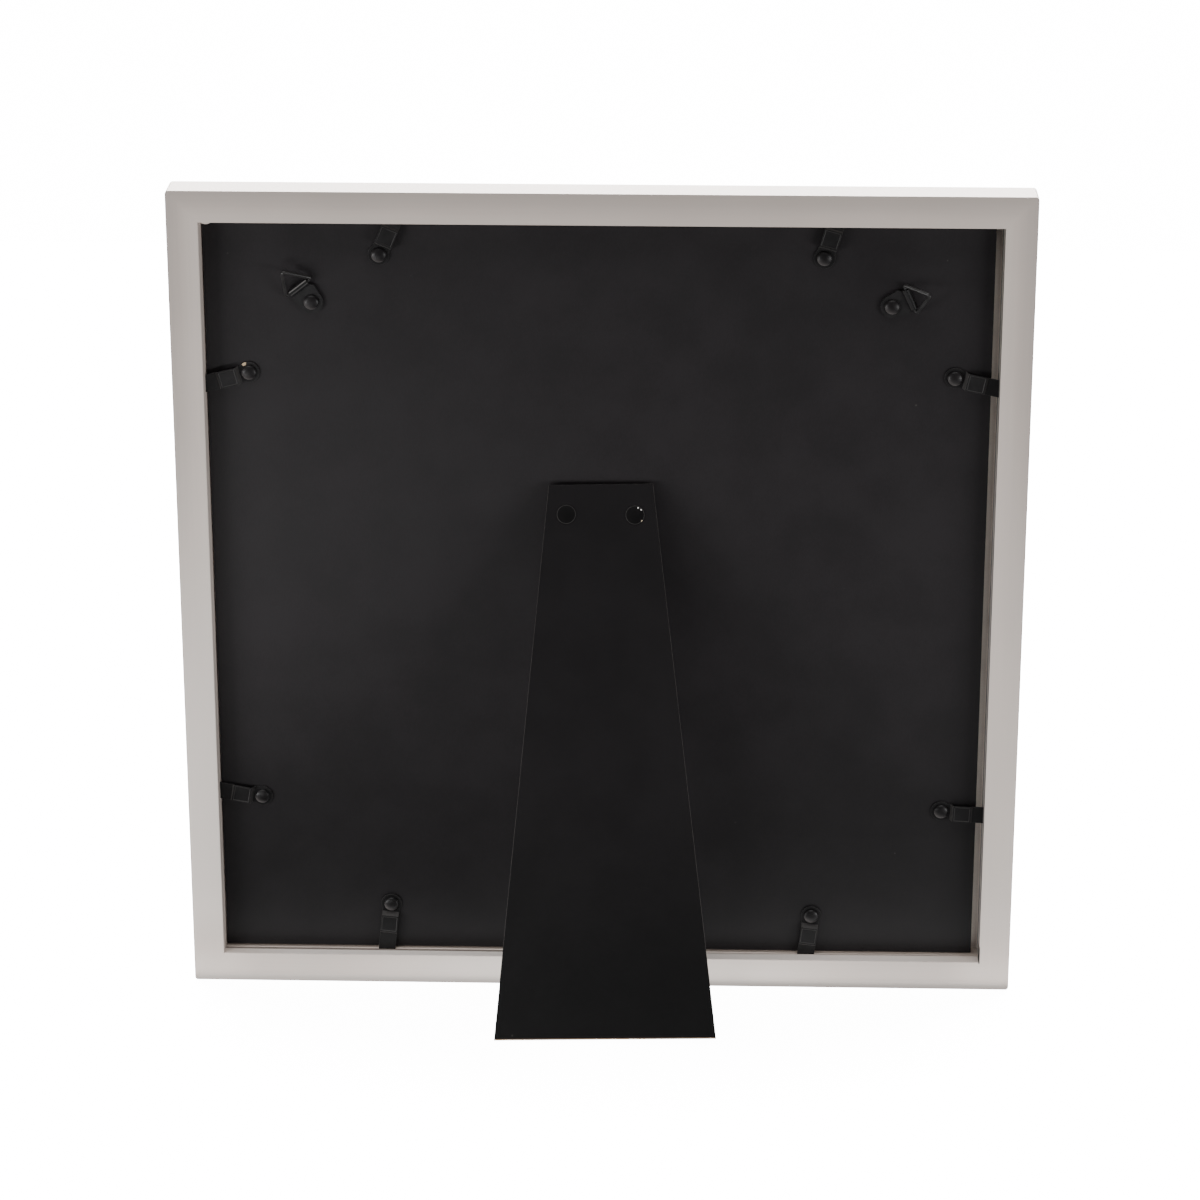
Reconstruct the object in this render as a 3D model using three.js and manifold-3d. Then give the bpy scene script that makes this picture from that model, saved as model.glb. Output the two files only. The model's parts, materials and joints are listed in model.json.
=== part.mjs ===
// A square collage photo frame that stands on an easel leg, in millimetres, +Z up.
// The pictures face -Y and the back faces +Y. Left and right are as seen from behind, so left is +X.
// The frame is built upright about the middle of its rear face, then leaned back onto its open leg.
import * as THREE from "three";
import { mergeVertices } from "three/addons/utils/BufferGeometryUtils.js";
import Module from "manifold-3d";

const wasm = await Module();
wasm.setup();

// Prints and mat
const PRINT_SHORT = 101.6;
const PRINT_LONG = 152.4;
const PRINT_THICKNESS = 0.25;
const PRINT_OVERLAP = 4.8; // how far the mat laps each edge of a print
const WINDOW_GAP = 12;
const MAT_BORDER = 23.9; // mat that shows round the group of windows
const MAT_THICKNESS = 1.2;

// Panels
const GLASS_THICKNESS = 1.5;
const BOARD_THICKNESS = 2;
const STACK_GAP = 0.1; // between one panel and the next
const PANEL_EDGE_GAP = 0.4; // between a panel's edge and the rails
const BACKING_SLACK = 2.4; // how much narrower the mat and the board are; they lie to the left

// Rails
const RIM_WIDTH = 12.3; // rear face, from the outside to the opening
const LIP_WIDTH = 5.5; // how far the front lip laps the glass
const LIP_THICKNESS = 2;
const RECESS = 8.6; // from the rear face to the backing board
const OUTER_EDGE_RADIUS = 0.8;
const FRONT_EDGE_RADIUS = 1.4;
const INNER_EDGE_CHAMFER = 0.4;
const CORNER_RADIUS = 1.4;
const MITRE_GAP = 0.04; // glue line
const KERF_WIDTH = 1.2;

// Turn clips, pressed from strip steel
const CLIP_THICKNESS = 0.6;
const CLIP_WIDTH = 6.8;
const CLIP_PAD_DIAMETER = 8.2;
const CLIP_REACH = 20.4; // from the rivet to the tip of the tongue
const CLIP_TONGUE_HEIGHT = 2.3; // from the board to the middle of the tongue
const CLIP_STEP = 0.75; // how far the raised square stands above the tongue
const CLIP_SQUARE = 7.2; // length of the raised square
const CLIP_SQUARE_START = 5;
const CLIP_TIP_RADIUS = 0.8;

// Clips' rivets, to the wall that the tongue enters, and along that wall from the corner
const RIVET_FROM_TOP = 14.1;
const RIVET_FROM_SIDE = 16.7;
const RIVET_FROM_BOTTOM_LEFT = 19.4;
const RIVET_FROM_BOTTOM_RIGHT = 16.2;
const RIVET_ALONG_TOP = 67.8;
const RIVET_ALONG_UPPER = 61.4;
const RIVET_ALONG_LOWER_LEFT = 66.3;
const RIVET_ALONG_LOWER_RIGHT = 63;

// Rivets of the clips and hangers
const SHANK_DIAMETER = 2.4;
const DOME_DIAMETER = 5.8;
const DOME_HEIGHT = 1.5;
const TAIL_DIAMETER = 4.2;
const TAIL_THICKNESS = 0.35;

// Hangers, a strap folded round a triangular wire ring
const STRAP_THICKNESS = 1.2; // both layers
const STRAP_WIDTH = 10.2; // at its shoulders, next to the ring
const STRAP_PAD_DIAMETER = 9; // round the rivet
const STRAP_EYE_WIDTH = 8.3; // round the ring's bar
const STRAP_LENGTH = 7.5; // from the rivet to the ring's bar
const STRAP_WALL = 0.6; // one layer, round the bar
const RING_WIRE = 1.5;
const RING_WIDTH = 12.3; // along the bar, between wire centres
const RING_HEIGHT = 10.4; // from the bar to the point, between wire centres
const RING_BEND_RADIUS = 1.4;
const RING_BUTT_GAP = 0.4; // the wire's two ends meet inside the strap
const HANGER_FROM_SIDE = 41.6;
const HANGER_FROM_TOP = 32.9;

// Easel leg
const LEG_TOP_ABOVE_CENTRE = 46.4;
const LEG_PAST_EDGE = 3; // folded, its foot passes the frame's bottom edge
const LEG_TOP_WIDTH = 40.5;
const LEG_FOOT_WIDTH = 85;
const LEG_THICKNESS = 2.5;
const LEG_OPEN_ANGLE = 27.5; // degrees, between the leg and the board
const LEG_SKEW = 1.2; // degrees, riveted a little askew

// Leg hinge
const HINGE_WIDTH = 36;
const HINGE_LEAF_THICKNESS = 0.6;
const HINGE_LEAF_LENGTH = 16; // below the pin
const HINGE_KNUCKLE = 12; // width of the middle knuckle
const PIN_DIAMETER = 1.2;
const PIN_HEAD_DIAMETER = 2.2;
const PIN_HEAD_THICKNESS = 0.5;
const LEG_RIVET_BELOW_TOP = 12;
const LEG_RIVET_SPACING = 26.7;
const LEG_RIVET_HEAD = 7.4;
const BOARD_RIVET_SPACING = 18;
const BOARD_RIVET_BELOW_PIN = 11.5;
const BOARD_RIVET_HEAD = 5;
const FLAT_HEAD_THICKNESS = 0.5;

// Clearances
const RUNNING_GAP = 0.3; // between pieces that move past each other
const SEAT_GAP = 0.15; // between pieces that are fixed together
const PIN_GAP = 0.15;

// Roundness
const ARC_STEPS = 4;
const ROUND_STEPS = 16;

// Sizes that follow
const windowShort = PRINT_SHORT - 2 * PRINT_OVERLAP;
const windowLong = PRINT_LONG - 2 * PRINT_OVERLAP;
const windowGroup = windowShort + WINDOW_GAP + windowLong;
const sightSide = windowGroup + 2 * MAT_BORDER;
const openingSide = sightSide + 2 * LIP_WIDTH;
const frameSide = openingSide + 2 * RIM_WIDTH;
const glassSide = openingSide - 2 * PANEL_EDGE_GAP;
const backingWidth = glassSide - BACKING_SLACK;
const backingX = BACKING_SLACK / 2;
const halfFrame = frameSide / 2;
const halfOpening = openingSide / 2;

const boardRear = -RECESS;
const boardFront = boardRear - BOARD_THICKNESS;
const printRear = boardFront - STACK_GAP;
const matRear = printRear - PRINT_THICKNESS - STACK_GAP;
const glassRear = matRear - MAT_THICKNESS - STACK_GAP;
const shelf = glassRear - GLASS_THICKNESS - STACK_GAP;
const frontFace = shelf - LIP_THICKNESS;

const shankHole = SHANK_DIAMETER / 2 + SEAT_GAP;
const tailSink = TAIL_THICKNESS + 2 * SEAT_GAP;
const tipCentre = CLIP_REACH - CLIP_TIP_RADIUS;
const clipSweep = Math.hypot(tipCentre, CLIP_WIDTH / 2 - CLIP_TIP_RADIUS) + CLIP_TIP_RADIUS;
const nearestRivet = Math.min(RIVET_FROM_TOP, RIVET_FROM_SIDE, RIVET_FROM_BOTTOM_LEFT, RIVET_FROM_BOTTOM_RIGHT);
const kerfReach = clipSweep - nearestRivet + RUNNING_GAP;
const kerfMiddle = boardRear + CLIP_TONGUE_HEIGHT;

const pinRadius = PIN_DIAMETER / 2;
const boreRadius = pinRadius + PIN_GAP;
const knuckleRadius = boreRadius + HINGE_LEAF_THICKNESS;
const pinHeight = knuckleRadius + SEAT_GAP; // of the pin's axis above the board
const legFace = knuckleRadius + SEAT_GAP; // from the pin's axis to the leg's inner face
const openAngle = THREE.MathUtils.degToRad(LEG_OPEN_ANGLE);
const skewAngle = THREE.MathUtils.degToRad(LEG_SKEW);

// The leg's top edge turns into the board as the leg opens, and that is the stop.
const legTop =
  (pinHeight + legFace * Math.cos(openAngle) - RUNNING_GAP) / Math.sin(openAngle) -
  (LEG_TOP_WIDTH / 2) * Math.sin(skewAngle);
const legLength = LEG_TOP_ABOVE_CENTRE + halfFrame + LEG_PAST_EDGE;
const legFoot = legTop - legLength;
const pinZ = LEG_TOP_ABOVE_CENTRE - legTop;

const loopBore = RING_WIRE / 2 + PIN_GAP;
const loopRadius = loopBore + STRAP_WALL;
const loopHeight = SEAT_GAP + loopRadius;

// Finishes
function finish(color, roughness, metalness) {
  return new THREE.MeshStandardMaterial({ color, roughness, metalness });
}
const paintedWood = finish(0xd6d1cc, 0.5, 0);
const clearGlass = finish(0xe8f0ee, 0.05, 0);
clearGlass.transparent = true;
clearGlass.opacity = 0.3;
const matPaper = finish(0xf2f0ea, 0.9, 0);
const printPaper = finish(0xb9b6b0, 0.5, 0);
const blackPaper = finish(0x1f1e1f, 0.75, 0);
const blackSteel = finish(0x1b1b1c, 0.4, 0.6);

// A closed geometry as a solid that can be joined and cut, and back again
function solid(geometry) {
  const bare = geometry.clone();
  bare.deleteAttribute("normal");
  bare.deleteAttribute("uv");
  const merged = mergeVertices(bare, 1e-4);
  return new wasm.Manifold(
    new wasm.Mesh({
      numProp: 3,
      vertProperties: merged.attributes.position.array,
      triVerts: new Uint32Array(merged.index.array),
    }),
  );
}

function geometryOf(body) {
  const made = body.getMesh();
  const geometry = new THREE.BufferGeometry();
  geometry.setAttribute("position", new THREE.BufferAttribute(made.vertProperties, 3));
  geometry.setIndex(new THREE.BufferAttribute(made.triVerts, 1));
  geometry.computeVertexNormals();
  return geometry;
}

// A plate cut to an outline in X and Z, its rear face at the given Y
function plate(outline, rear, thickness) {
  const settings = { depth: thickness, bevelEnabled: false, curveSegments: ARC_STEPS };
  return new THREE.ExtrudeGeometry(outline, settings).rotateX(Math.PI / 2).translate(0, rear, 0);
}

// A profile in Z and Y, drawn out along X about the middle
function drawnOut(profile, width) {
  const settings = { depth: width, bevelEnabled: false, curveSegments: ARC_STEPS };
  return new THREE.ExtrudeGeometry(profile, settings).rotateY(-Math.PI / 2).translate(width / 2, 0, 0);
}

function rectangle(x0, z0, x1, z1) {
  const outline = new THREE.Shape();
  outline.moveTo(x0, z0);
  outline.lineTo(x1, z0);
  outline.lineTo(x1, z1);
  outline.lineTo(x0, z1);
  return outline;
}

function centred(width, height) {
  return rectangle(-width / 2, -height / 2, width / 2, height / 2);
}

// A round bar, along Y as it comes or along X when it is laid across
function bar(radius, length) {
  return new THREE.CylinderGeometry(radius, radius, length, ROUND_STEPS);
}

function barAcross(radius, length) {
  return bar(radius, length).rotateZ(Math.PI / 2);
}

function place(name, geometry, material, parent, x = 0, y = 0, z = 0) {
  const mesh = new THREE.Mesh(geometry, material);
  mesh.name = name;
  mesh.position.set(x, y, z);
  parent.add(mesh);
  return mesh;
}

// Rails. One profile runs round the frame: rear face, kerfed inner wall, shelf for the glass, front lip.
function railProfile() {
  const inner = RIM_WIDTH;
  const sight = RIM_WIDTH + LIP_WIDTH;
  const kerfTop = kerfMiddle + KERF_WIDTH / 2;
  const kerfBottom = kerfMiddle - KERF_WIDTH / 2;
  const profile = new THREE.Shape();
  profile.moveTo(OUTER_EDGE_RADIUS, 0);
  profile.lineTo(inner - INNER_EDGE_CHAMFER, 0);
  profile.lineTo(inner, -INNER_EDGE_CHAMFER);
  profile.lineTo(inner, kerfTop);
  profile.lineTo(inner - kerfReach, kerfTop);
  profile.lineTo(inner - kerfReach, kerfBottom);
  profile.lineTo(inner, kerfBottom);
  profile.lineTo(inner, shelf);
  profile.lineTo(sight, shelf);
  profile.lineTo(sight, frontFace + INNER_EDGE_CHAMFER);
  profile.lineTo(sight - INNER_EDGE_CHAMFER, frontFace);
  profile.lineTo(FRONT_EDGE_RADIUS, frontFace);
  profile.absarc(FRONT_EDGE_RADIUS, frontFace + FRONT_EDGE_RADIUS, FRONT_EDGE_RADIUS, -Math.PI / 2, -Math.PI, true);
  profile.lineTo(0, -OUTER_EDGE_RADIUS);
  profile.absarc(OUTER_EDGE_RADIUS, -OUTER_EDGE_RADIUS, OUTER_EDGE_RADIUS, Math.PI, Math.PI / 2, true);
  return profile;
}

function roundedSquare(side, radius) {
  const far = side / 2;
  const near = far - radius;
  const outline = new THREE.Shape();
  outline.moveTo(-near, -far);
  outline.absarc(near, -near, radius, -Math.PI / 2, 0, false);
  outline.absarc(near, near, radius, 0, Math.PI / 2, false);
  outline.absarc(-near, near, radius, Math.PI / 2, Math.PI, false);
  outline.absarc(-near, -near, radius, Math.PI, 1.5 * Math.PI, false);
  return outline;
}

// The bottom rail lies between two mitre planes that meet at the middle of the frame.
function railGeometry() {
  const apex = -MITRE_GAP / Math.SQRT2;
  const far = frameSide;
  const mitre = new THREE.Shape();
  mitre.moveTo(0, apex);
  mitre.lineTo(-far, apex - far);
  mitre.lineTo(far, apex - far);
  const depth = -frontFace + 2;
  const length = solid(drawnOut(railProfile(), frameSide).translate(0, 0, -halfFrame));
  const corners = solid(plate(roundedSquare(frameSide, CORNER_RADIUS), 1, depth));
  const mitres = solid(plate(mitre, 1, depth));
  return geometryOf(length.intersect(corners).intersect(mitres));
}

function addRails(frame) {
  const rail = railGeometry();
  ["bottom_rail", "right_rail", "top_rail", "left_rail"].forEach((name, side) => {
    place(name, rail, paintedWood, frame).rotation.y = (side * Math.PI) / 2;
  });
}

// Two upright and two lying windows turn round the middle of the mat like a pinwheel.
function windowCentres() {
  const across = (windowGroup - windowShort) / 2;
  const along = (windowGroup - windowLong) / 2;
  return [
    { name: "upper_left", x: across, z: along, upright: true },
    { name: "upper_right", x: -along, z: across, upright: false },
    { name: "lower_right", x: -across, z: -along, upright: true },
    { name: "lower_left", x: along, z: -across, upright: false },
  ];
}

function printOutline(upright, trim) {
  const wide = (upright ? PRINT_SHORT : PRINT_LONG) / 2 - trim;
  const high = (upright ? PRINT_LONG : PRINT_SHORT) / 2 - trim;
  return rectangle(-wide, -high, wide, high);
}

// A window's cutter flares at 45 degrees from the mat's rear face to past its front face.
function windowCutter(upright) {
  const settings = {
    depth: 1,
    bevelEnabled: true,
    bevelThickness: MAT_THICKNESS,
    bevelSize: MAT_THICKNESS,
    bevelSegments: 1,
  };
  const flare = new THREE.ExtrudeGeometry(printOutline(upright, PRINT_OVERLAP), settings);
  return solid(flare.rotateX(Math.PI / 2).translate(0, matRear - MAT_THICKNESS, 0));
}

function addPanels(frame) {
  place("glass_pane", plate(centred(glassSide, glassSide), glassRear, GLASS_THICKNESS), clearGlass, frame);
  const whole = plate(centred(backingWidth, glassSide), matRear, MAT_THICKNESS);
  let mat = solid(whole.translate(backingX, 0, 0));
  for (const { name, x, z, upright } of windowCentres()) {
    mat = mat.subtract(windowCutter(upright).translate([x, 0, z]));
    const print = plate(printOutline(upright, 0), printRear, PRINT_THICKNESS);
    place("photo_print_" + name, print, printPaper, frame, x, 0, z);
  }
  place("mat_board", geometryOf(mat), matPaper, frame);
}

// Where the hardware sits. A turn is counter-clockwise as seen from behind, from pointing straight up.
const sideX = halfOpening - RIVET_FROM_SIDE;
const alongX = halfOpening - RIVET_ALONG_TOP;
const upperZ = halfOpening - RIVET_ALONG_UPPER;
const topZ = halfOpening - RIVET_FROM_TOP;
const clips = [
  { name: "top_left", x: alongX, z: topZ, turn: -23 },
  { name: "top_right", x: -alongX, z: topZ, turn: -16 },
  { name: "upper_left", x: sideX, z: upperZ, turn: 104 },
  { name: "upper_right", x: -sideX, z: upperZ, turn: -102 },
  { name: "lower_left", x: sideX, z: RIVET_ALONG_LOWER_LEFT - halfOpening, turn: 80 },
  { name: "lower_right", x: -sideX, z: RIVET_ALONG_LOWER_RIGHT - halfOpening, turn: -93 },
  { name: "bottom_left", x: alongX, z: RIVET_FROM_BOTTOM_LEFT - halfOpening, turn: 174 },
  { name: "bottom_right", x: -alongX, z: RIVET_FROM_BOTTOM_RIGHT - halfOpening, turn: 173 },
];
const hangerX = halfOpening - HANGER_FROM_SIDE;
const hangerZ = halfOpening - HANGER_FROM_TOP;
const hangers = [
  { name: "left", x: hangerX, z: hangerZ, turn: 38, lift: 27 },
  { name: "right", x: -hangerX, z: hangerZ, turn: -64.5, lift: 40 },
];
const boardRivets = [-1, 1].map((side) => ({
  name: side > 0 ? "left" : "right",
  x: (side * BOARD_RIVET_SPACING) / 2,
  z: pinZ - BOARD_RIVET_BELOW_PIN,
}));

// The board is drilled for each rivet, and sunk in front for its clenched tail.
function addBoard(frame) {
  const whole = plate(centred(backingWidth, glassSide), boardRear, BOARD_THICKNESS);
  let board = solid(whole.translate(backingX, 0, 0));
  const hole = solid(bar(shankHole, 3 * BOARD_THICKNESS).translate(0, boardRear, 0));
  const sink = solid(bar(TAIL_DIAMETER / 2 + SEAT_GAP, 2 * tailSink).translate(0, boardFront, 0));
  const drill = hole.add(sink);
  for (const { x, z } of [...clips, ...hangers, ...boardRivets]) {
    board = board.subtract(drill.translate([x, 0, z]));
  }
  place("backing_board", geometryOf(board), blackPaper, frame);
}

// A rivet through the board, its head's underside at the given height above the board
function rivetProfile(headHeight, head, tailY) {
  const shank = SHANK_DIAMETER / 2;
  const tail = TAIL_DIAMETER / 2;
  return [
    new THREE.Vector2(0, tailY),
    new THREE.Vector2(tail, tailY),
    new THREE.Vector2(tail, tailY + TAIL_THICKNESS),
    new THREE.Vector2(shank, tailY + TAIL_THICKNESS),
    new THREE.Vector2(shank, headHeight),
    ...head,
  ];
}

function domedHead(underside) {
  const radius = DOME_DIAMETER / 2;
  const steps = ARC_STEPS;
  const head = [new THREE.Vector2(radius, underside)];
  for (let i = 0; i < steps; i++) {
    const angle = (i / steps) * (Math.PI / 2);
    const rise = 0.25 + (DOME_HEIGHT - 0.25) * Math.sin(angle);
    head.push(new THREE.Vector2(radius * Math.cos(angle), underside + rise));
  }
  head.push(new THREE.Vector2(0, underside + DOME_HEIGHT));
  return head;
}

function flatHead(underside, diameter) {
  const radius = diameter / 2;
  const chamfer = FLAT_HEAD_THICKNESS / 2;
  return [
    new THREE.Vector2(radius, underside),
    new THREE.Vector2(radius, underside + FLAT_HEAD_THICKNESS - chamfer),
    new THREE.Vector2(radius - chamfer, underside + FLAT_HEAD_THICKNESS),
    new THREE.Vector2(0, underside + FLAT_HEAD_THICKNESS),
  ];
}

function turned(profile) {
  return new THREE.LatheGeometry(profile, ROUND_STEPS);
}

const tailInBoard = boardFront - boardRear + SEAT_GAP;

// Strip steel bent along a centre line of Z and Y points, as its side profile
function bentStrip(line, thickness) {
  const half = thickness / 2;
  const upper = [];
  const lower = [];
  line.forEach((point, i) => {
    const before = line[Math.max(i - 1, 0)];
    const after = line[Math.min(i + 1, line.length - 1)];
    const arriving = point.clone().sub(before).normalize();
    const leaving = after.clone().sub(point).normalize();
    const along = arriving.clone().add(leaving).normalize();
    const normal = new THREE.Vector2(-along.y, along.x);
    const straight = arriving.lengthSq() > 0 ? arriving : leaving;
    const reach = half / Math.abs(normal.dot(new THREE.Vector2(-straight.y, straight.x)));
    upper.push(point.clone().addScaledVector(normal, reach));
    lower.unshift(point.clone().addScaledVector(normal, -reach));
  });
  return new THREE.Shape([...upper, ...lower]);
}

// A clip lies on the board at its rivet, steps up to a raised square, and steps down to its tongue.
function clipGeometry() {
  const low = SEAT_GAP + CLIP_THICKNESS / 2;
  const tongue = CLIP_TONGUE_HEIGHT;
  const high = tongue + CLIP_STEP;
  const squareEnd = CLIP_SQUARE_START + CLIP_SQUARE;
  const padRadius = CLIP_PAD_DIAMETER / 2;
  const line = [
    new THREE.Vector2(-padRadius - 1, low),
    new THREE.Vector2(CLIP_SQUARE_START - 1.1, low),
    new THREE.Vector2(CLIP_SQUARE_START, high),
    new THREE.Vector2(squareEnd, high),
    new THREE.Vector2(squareEnd + CLIP_STEP, tongue),
    new THREE.Vector2(CLIP_REACH + 1, tongue),
  ];
  const half = CLIP_WIDTH / 2;
  const shoulder = Math.sqrt(padRadius ** 2 - half ** 2);
  const padEdge = Math.atan2(shoulder, half);
  const outline = new THREE.Shape();
  outline.moveTo(half, shoulder);
  outline.absarc(half - CLIP_TIP_RADIUS, tipCentre, CLIP_TIP_RADIUS, 0, Math.PI / 2, false);
  outline.absarc(CLIP_TIP_RADIUS - half, tipCentre, CLIP_TIP_RADIUS, Math.PI / 2, Math.PI, false);
  outline.absarc(0, 0, padRadius, Math.PI - padEdge, 2 * Math.PI + padEdge, false);
  const settings = { depth: 2 * high, bevelEnabled: false, curveSegments: 3 * ARC_STEPS };
  const plan = new THREE.ExtrudeGeometry(outline, settings).rotateX(Math.PI / 2).translate(0, 2 * high, 0);
  const strip = solid(drawnOut(bentStrip(line, CLIP_THICKNESS), 2 * padRadius));
  const hole = solid(bar(shankHole, 4 * CLIP_THICKNESS));
  return geometryOf(strip.intersect(solid(plan)).subtract(hole));
}

function addClips(frame) {
  const clip = clipGeometry();
  const underHead = 2 * SEAT_GAP + CLIP_THICKNESS;
  const rivet = turned(rivetProfile(underHead, domedHead(underHead), tailInBoard));
  for (const { name, x, z, turn } of clips) {
    const made = place("clip_" + name, clip, blackSteel, frame, x, boardRear, z);
    made.rotation.y = THREE.MathUtils.degToRad(turn);
    place("clip_rivet_" + name, rivet, blackSteel, frame, x, boardRear, z);
  }
}

// A strap's two layers run from the rivet to a rolled eye that holds the ring's bar.
function strapGeometry() {
  const half = STRAP_WIDTH / 2;
  const layers = rectangle(-half, SEAT_GAP, STRAP_LENGTH, SEAT_GAP + STRAP_THICKNESS);
  const eye = barAcross(loopRadius, STRAP_WIDTH).translate(0, loopHeight, STRAP_LENGTH);
  const bore = barAcross(loopBore, STRAP_WIDTH + 2).translate(0, loopHeight, STRAP_LENGTH);
  const eyeHalf = STRAP_EYE_WIDTH / 2;
  const shoulder = STRAP_LENGTH - loopRadius - RUNNING_GAP;
  const far = STRAP_LENGTH + 2 * loopRadius;
  const outline = new THREE.Shape();
  outline.moveTo(half, shoulder - (half - eyeHalf));
  outline.lineTo(eyeHalf, shoulder);
  outline.lineTo(eyeHalf, far);
  outline.lineTo(-eyeHalf, far);
  outline.lineTo(-eyeHalf, shoulder);
  outline.lineTo(-half, shoulder - (half - eyeHalf));
  outline.absarc(0, 0, STRAP_PAD_DIAMETER / 2, Math.PI, 2 * Math.PI, false);
  const depth = 4 * loopHeight;
  const settings = { depth, bevelEnabled: false, curveSegments: 2 * ARC_STEPS };
  const plan = new THREE.ExtrudeGeometry(outline, settings).rotateX(Math.PI / 2).translate(0, depth / 2, 0);
  const hole = solid(bar(shankHole, 4 * STRAP_THICKNESS));
  const whole = solid(drawnOut(layers, STRAP_WIDTH)).add(solid(eye));
  return geometryOf(whole.subtract(solid(bore)).intersect(solid(plan)).subtract(hole));
}

// The ring is one bent wire: half its bar, up one side, round the point, down, and back along the bar.
function ringGeometry() {
  const half = RING_WIDTH / 2;
  const corner = (x, z) => new THREE.Vector3(x, 0, z);
  const right = corner(half, 0);
  const point = corner(0, RING_HEIGHT);
  const left = corner(-half, 0);
  const stops = [corner(RING_BUTT_GAP / 2, 0), right, point, left, corner(-RING_BUTT_GAP / 2, 0)];
  const path = new THREE.CurvePath();
  let from = stops[0];
  for (let i = 1; i < stops.length - 1; i++) {
    const back = stops[i - 1].clone().sub(stops[i]).setLength(RING_BEND_RADIUS).add(stops[i]);
    const on = stops[i + 1].clone().sub(stops[i]).setLength(RING_BEND_RADIUS).add(stops[i]);
    path.add(new THREE.LineCurve3(from, back));
    path.add(new THREE.QuadraticBezierCurve3(back, stops[i], on));
    from = on;
  }
  path.add(new THREE.LineCurve3(from, stops[stops.length - 1]));
  const section = new THREE.Shape().absarc(0, 0, RING_WIRE / 2, 0, 2 * Math.PI, false);
  return new THREE.ExtrudeGeometry(section, { extrudePath: path, steps: 56, curveSegments: 4 });
}

function addHangers(frame) {
  const strap = strapGeometry();
  const ring = ringGeometry();
  const underHead = 2 * SEAT_GAP + STRAP_THICKNESS;
  const rivet = turned(rivetProfile(underHead, domedHead(underHead), tailInBoard));
  for (const { name, x, z, turn, lift } of hangers) {
    const hanger = new THREE.Group();
    hanger.position.set(x, boardRear, z);
    hanger.rotation.y = THREE.MathUtils.degToRad(turn);
    frame.add(hanger);
    place("hanger_strap_" + name, strap, blackSteel, hanger);
    const made = place("hanger_ring_" + name, ring, blackSteel, hanger, 0, loopHeight, STRAP_LENGTH);
    made.rotation.x = -THREE.MathUtils.degToRad(lift);
    place("hanger_rivet_" + name, rivet, blackSteel, frame, x, boardRear, z);
  }
}

// A hinge leaf hangs from the pin's axis. Its knuckles fill the given stretches, and it is cut clear of the rest.
function hingeLeaf(inner, knuckles, gaps, holes) {
  const leafPlate = rectangle(-HINGE_LEAF_LENGTH, inner, 0, inner + HINGE_LEAF_THICKNESS);
  let leaf = solid(drawnOut(leafPlate, HINGE_WIDTH));
  for (const { middle, width } of knuckles) {
    leaf = leaf.add(solid(barAcross(knuckleRadius, width).translate(middle, 0, 0)));
  }
  leaf = leaf.subtract(solid(barAcross(boreRadius, HINGE_WIDTH + 2)));
  for (const { middle, width } of gaps) {
    const clear = barAcross(knuckleRadius + RUNNING_GAP, width + 2 * RUNNING_GAP);
    leaf = leaf.subtract(solid(clear.translate(middle, 0, 0)));
  }
  for (const { x, z } of holes) {
    leaf = leaf.subtract(solid(bar(shankHole, 20).translate(x, 0, z)));
  }
  return geometryOf(leaf);
}

const endKnuckleWidth = (HINGE_WIDTH - HINGE_KNUCKLE) / 2 - RUNNING_GAP;
const endKnuckles = [-1, 1].map((side) => ({
  middle: (side * (HINGE_WIDTH - endKnuckleWidth)) / 2,
  width: endKnuckleWidth,
}));
const middleKnuckle = [{ middle: 0, width: HINGE_KNUCKLE }];

function addHinge(frame) {
  const holes = boardRivets.map(({ x, z }) => ({ x, z: z - pinZ }));
  const leaf = hingeLeaf(-knuckleRadius, endKnuckles, middleKnuckle, holes);
  const pinY = boardRear + pinHeight;
  place("hinge_board_leaf", leaf, blackSteel, frame, 0, pinY, pinZ);

  const reach = HINGE_WIDTH / 2 + SEAT_GAP;
  const end = reach + PIN_HEAD_THICKNESS;
  const pinHead = PIN_HEAD_DIAMETER / 2;
  const pin = turned([
    new THREE.Vector2(0, -end),
    new THREE.Vector2(pinHead, -end),
    new THREE.Vector2(pinHead, -reach),
    new THREE.Vector2(pinRadius, -reach),
    new THREE.Vector2(pinRadius, reach),
    new THREE.Vector2(pinHead, reach),
    new THREE.Vector2(pinHead, end),
    new THREE.Vector2(0, end),
  ]);
  place("hinge_pin", pin.rotateZ(Math.PI / 2), blackSteel, frame, 0, pinY, pinZ);

  const underHead = 2 * SEAT_GAP + HINGE_LEAF_THICKNESS;
  const rivet = turned(rivetProfile(underHead, flatHead(underHead, BOARD_RIVET_HEAD), tailInBoard));
  for (const { name, x, z } of boardRivets) {
    place("hinge_rivet_" + name, rivet, blackSteel, frame, x, boardRear, z);
  }
}

// The leg, its leaf and its rivets turn together about the pin, and are drawn as if folded.
const legRivets = [-1, 1].map((side) => ({
  name: side > 0 ? "left" : "right",
  x: (side * LEG_RIVET_SPACING) / 2,
  z: legTop - LEG_RIVET_BELOW_TOP,
}));

function legOutline() {
  const outline = new THREE.Shape();
  outline.moveTo(-LEG_FOOT_WIDTH / 2, legFoot);
  outline.lineTo(LEG_FOOT_WIDTH / 2, legFoot);
  outline.lineTo(LEG_TOP_WIDTH / 2, legTop);
  outline.lineTo(-LEG_TOP_WIDTH / 2, legTop);
  return outline;
}

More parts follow.
